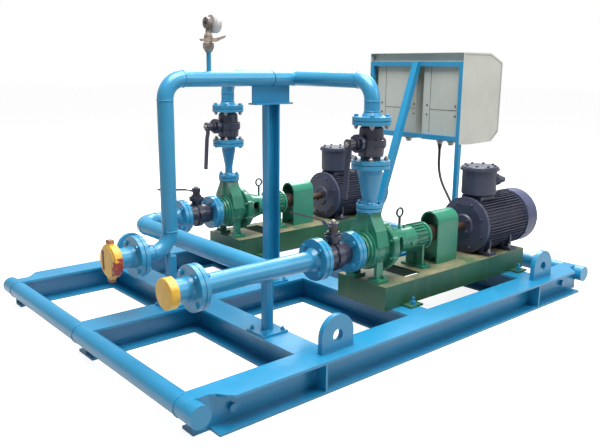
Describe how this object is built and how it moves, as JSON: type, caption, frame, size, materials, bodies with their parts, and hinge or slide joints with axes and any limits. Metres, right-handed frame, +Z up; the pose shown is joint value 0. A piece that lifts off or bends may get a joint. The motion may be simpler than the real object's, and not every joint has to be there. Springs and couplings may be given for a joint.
{
  "type": "skid-mounted centrifugal pump",
  "caption": "Twin end-suction centrifugal pumps with motors on a steel beam skid, joined by flanged suction and delivery pipework with ball valves and a covered control panel.",
  "frame": {"origin": "centre of the skid's middle beam at floor level, midway between the end tubes", "axes": "+X along the beams from the hose ends toward the motors, +Y from the near pump toward the far pump, +Z up"},
  "size_m": [3.1465, 1.94, 1.522],
  "materials": {
    "frame_blue": "glossy light blue enamel over steel",
    "pipe_blue": "glossy blue enamel over steel pipe",
    "pump_green": "glossy green enamel over cast iron",
    "motor_grey": "dark blue-grey paint over cast iron",
    "valve_dark": "dark blue paint over cast iron",
    "shaft_steel": "turned steel, lightly oiled",
    "coupling_iron": "dark machined iron",
    "hood_cream": "cream painted sheet",
    "cabinet_grey": "grey-beige painted sheet",
    "cap_yellow": "yellow enamel",
    "cable_black": "black rubber sheath",
    "gasket_black": "dark fibre ring",
    "cock_brass": "dull brass",
    "gauge_steel": "stainless case",
    "pointer_black": "black enamel"
  },
  "bodies": {
    "skid": {"cross_beams": "frame_blue", "discharge_header": "pipe_blue", "discharge_riser": "pipe_blue", "end_tubes": "frame_blue", "far_base": "pump_green", "far_bearing_frame": "pump_green", "far_cabinet": "cabinet_grey", "far_casing": "pump_green", "far_delivery_valve_body": "valve_dark", "far_fan_cowl": "motor_grey", "far_guard": "pump_green", "far_motor": "motor_grey", "far_reducer": "pipe_blue", "far_suction_valve_body": "valve_dark", "far_terminal_box": "motor_grey", "flange_gaskets": "gasket_black", "gauge_pipe": "cock_brass", "hose_adapters": "pipe_blue", "lifting_lugs": "frame_blue", "long_beams": "frame_blue", "manifold_post": "frame_blue", "motor_cable": "cable_black", "near_base": "pump_green", "near_bearing_frame": "pump_green", "near_cabinet": "cabinet_grey", "near_casing": "pump_green", "near_delivery_valve_body": "valve_dark", "near_fan_cowl": "motor_grey", "near_guard": "pump_green", "near_motor": "motor_grey", "near_reducer": "pipe_blue", "near_suction_valve_body": "valve_dark", "near_terminal_box": "motor_grey", "panel_stand": "frame_blue", "pipe_props": "frame_blue", "pressure_gauge": "gauge_steel", "rain_hood": "hood_cream", "suction_manifold": "pipe_blue"},
    "near_suction_handle": {"near_suction_valve_stem": "shaft_steel", "near_suction_valve_lever": "valve_dark"},
    "near_delivery_handle": {"near_delivery_valve_stem": "shaft_steel", "near_delivery_valve_lever": "valve_dark"},
    "near_rotor": {"near_pump_shaft": "shaft_steel", "near_coupling": "coupling_iron", "near_motor_rotor": "shaft_steel"},
    "far_suction_handle": {"far_suction_valve_stem": "shaft_steel", "far_suction_valve_lever": "valve_dark"},
    "far_delivery_handle": {"far_delivery_valve_stem": "shaft_steel", "far_delivery_valve_lever": "valve_dark"},
    "far_rotor": {"far_pump_shaft": "shaft_steel", "far_coupling": "coupling_iron", "far_motor_rotor": "shaft_steel"},
    "near_cabinet_door": {"near_door": "cabinet_grey"},
    "far_cabinet_door": {"far_door": "cabinet_grey"},
    "gauge_cock_handle": {"gauge_handle": "cock_brass"},
    "pointer": {"gauge_pointer": "pointer_black"},
    "suction_cap_off": {"suction_cap": "cap_yellow"},
    "delivery_cap_off": {"delivery_cap": "cap_yellow"}
  },
  "joints": [
    {"name": "near_suction_valve_turn", "type": "hinge", "parent": "skid", "child": "near_suction_handle", "pos_m": [-0.345, -0.562, 0.418], "axis": [0, 0, 1], "range_deg": [0, 90]},
    {"name": "near_delivery_valve_turn", "type": "hinge", "parent": "skid", "child": "near_delivery_handle", "pos_m": [-0.109, -0.562, 0.932], "axis": [1, 0, 0], "range_deg": [0, 90]},
    {"name": "near_shaft_spin", "type": "hinge", "parent": "skid", "child": "near_rotor", "pos_m": [0.4, -0.562, 0.418], "axis": [1, 0, 0], "continuous": true},
    {"name": "far_suction_valve_turn", "type": "hinge", "parent": "skid", "child": "far_suction_handle", "pos_m": [-0.345, 0.618, 0.418], "axis": [0, 0, 1], "range_deg": [0, 90]},
    {"name": "far_delivery_valve_turn", "type": "hinge", "parent": "skid", "child": "far_delivery_handle", "pos_m": [-0.109, 0.618, 0.932], "axis": [1, 0, 0], "range_deg": [0, 90]},
    {"name": "far_shaft_spin", "type": "hinge", "parent": "skid", "child": "far_rotor", "pos_m": [0.4, 0.618, 0.418], "axis": [1, 0, 0], "continuous": true},
    {"name": "near_door_swing", "type": "hinge", "parent": "skid", "child": "near_cabinet_door", "pos_m": [1.551, 0.029, 1.04], "axis": [0, 0, -1], "range_deg": [0, 90]},
    {"name": "far_door_swing", "type": "hinge", "parent": "skid", "child": "far_cabinet_door", "pos_m": [1.551, 0.771, 1.04], "axis": [0, 0, 1], "range_deg": [0, 90]},
    {"name": "gauge_cock_turn", "type": "hinge", "parent": "skid", "child": "gauge_cock_handle", "pos_m": [-0.643, -0.012, 1.398], "axis": [0, 1, 0], "range_deg": [0, 90]},
    {"name": "gauge_pointer_turn", "type": "hinge", "parent": "skid", "child": "pointer", "pos_m": [-0.6, 0, 1.476], "axis": [-1, 0, 0], "range_deg": [0, 270]},
    {"name": "suction_cap_slide", "type": "slide", "parent": "skid", "child": "suction_cap_off", "axis": [-1, 0, 0], "range_m": [0, 0.12]},
    {"name": "delivery_cap_slide", "type": "slide", "parent": "skid", "child": "delivery_cap_off", "axis": [-1, 0, 0], "range_m": [0, 0.12]}
  ]
}
